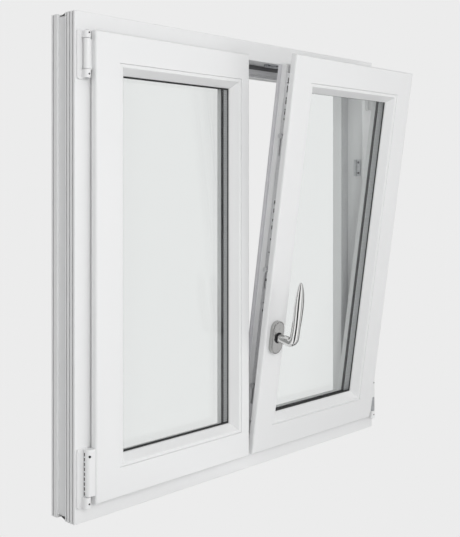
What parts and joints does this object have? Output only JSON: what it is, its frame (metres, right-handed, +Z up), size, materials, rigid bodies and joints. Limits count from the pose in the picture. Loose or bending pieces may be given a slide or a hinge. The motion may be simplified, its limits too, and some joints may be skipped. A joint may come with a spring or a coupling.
{
  "type": "casement window",
  "caption": "Two-leaf tilt-and-turn casement window of white plastic profiles with double glazing, beads, seals, hinges, stay and lever handle.",
  "frame": {"origin": "middle of the frame's lower edge, in the plane of its room-side face", "axes": "+X to the right as seen from the room, +Y outdoors, +Z up"},
  "size_m": [0.9, 0.2112, 0.9],
  "materials": {
    "pvc": "satin white PVC",
    "bead_pvc": "satin white PVC",
    "glass": "clear float glass",
    "rubber": "matt black EPDM",
    "zinc": "passivated zinc plate",
    "satin_metal": "satin steel",
    "white_metal": "white powder coat",
    "spacer_metal": "mill aluminium",
    "block_plastic": "grey nylon"
  },
  "bodies": {
    "frame": {"frame_head": "pvc", "frame_sill": "pvc", "frame_jamb_left": "pvc", "frame_jamb_right": "pvc", "frame_steel": "zinc", "frame_seal": "rubber", "drain_caps": "pvc", "strikers": "zinc", "stay_bearing": "white_metal", "corner_bearing": "white_metal", "left_hinge_plates": "white_metal", "hinge_pins": "zinc", "hinge_screws": "zinc"},
    "left_leaf": {"left_top_rail": "pvc", "left_bottom_rail": "pvc", "left_hinge_stile": "pvc", "left_meeting_stile": "pvc", "left_steel": "zinc", "left_bead_top": "bead_pvc", "left_bead_bottom": "bead_pvc", "left_bead_hinge": "bead_pvc", "left_bead_meeting": "bead_pvc", "left_pane_inner": "glass", "left_pane_outer": "glass", "left_spacer": "spacer_metal", "left_glazing_seals": "rubber", "left_lip_seal": "rubber", "left_setting_blocks": "block_plastic", "left_hinge_knuckles": "white_metal", "left_edge_plate": "zinc"},
    "bolt_top": {"shoot_bolt_top": "zinc"},
    "bolt_bottom": {"shoot_bolt_bottom": "zinc"},
    "turn_carrier": {"turn_knuckle": "zinc"},
    "right_leaf": {"right_top_rail": "pvc", "right_bottom_rail": "pvc", "right_hinge_stile": "pvc", "right_meeting_stile": "pvc", "right_steel": "zinc", "right_bead_top": "bead_pvc", "right_bead_bottom": "bead_pvc", "right_bead_hinge": "bead_pvc", "right_bead_meeting": "bead_pvc", "right_pane_inner": "glass", "right_pane_outer": "glass", "right_spacer": "spacer_metal", "right_glazing_seals": "rubber", "right_lip_seal": "rubber", "right_meeting_seal": "rubber", "right_setting_blocks": "block_plastic", "pivot_shoe": "zinc", "stay_guide": "zinc", "gearbox": "zinc", "faceplate": "zinc", "handle_rose": "satin_metal", "handle_screws": "zinc"},
    "stay": {"stay_arm": "zinc"},
    "handle": {"handle_lever": "satin_metal", "handle_spindle": "zinc"},
    "rail": {"drive_rail": "zinc"}
  },
  "joints": [
    {"name": "left_turn", "type": "hinge", "parent": "frame", "child": "left_leaf", "pos_m": [-0.432, -0.012, 0.45], "axis": [0, 0, -1], "range_deg": [0, 90]},
    {"name": "bolt_top_slide", "type": "slide", "parent": "left_leaf", "child": "bolt_top", "axis": [0, 0, 1], "range_m": [0, 0.016]},
    {"name": "bolt_bottom_slide", "type": "slide", "parent": "left_leaf", "child": "bolt_bottom", "axis": [0, 0, -1], "range_m": [0, 0.016]},
    {"name": "right_turn", "type": "hinge", "parent": "frame", "child": "turn_carrier", "pos_m": [0.432, -0.012, 0.45], "axis": [0, 0, 1], "range_deg": [0, 90]},
    {"name": "right_tilt", "type": "hinge", "parent": "turn_carrier", "child": "right_leaf", "pos_m": [0.42, -0.01, 0.055], "axis": [1, 0, 0], "range_deg": [-8.4, 0]},
    {"name": "stay_swing", "type": "hinge", "parent": "turn_carrier", "child": "stay", "pos_m": [0.432, -0.012, 0.84], "axis": [0, 0, 1], "range_deg": [-22.37, 0.05]},
    {"name": "handle_turn", "type": "hinge", "parent": "right_leaf", "child": "handle", "pos_m": [0.022, -0.0532, 0.27909], "axis": [0, 0.9893, 0.1461], "range_deg": [0, 180]},
    {"name": "rail_slide", "type": "slide", "parent": "right_leaf", "child": "rail", "axis": [0, 0.1461, -0.9893], "range_m": [0, 0.0361]}
  ],
  "couplings": [
    {"joint": "bolt_bottom_slide", "follows": "bolt_top_slide", "ratio": 1},
    {"joint": "stay_swing", "follows": "right_tilt", "ratio": 2.6569},
    {"joint": "rail_slide", "follows": "handle_turn", "m_per_rad": 0.011459}
  ]
}
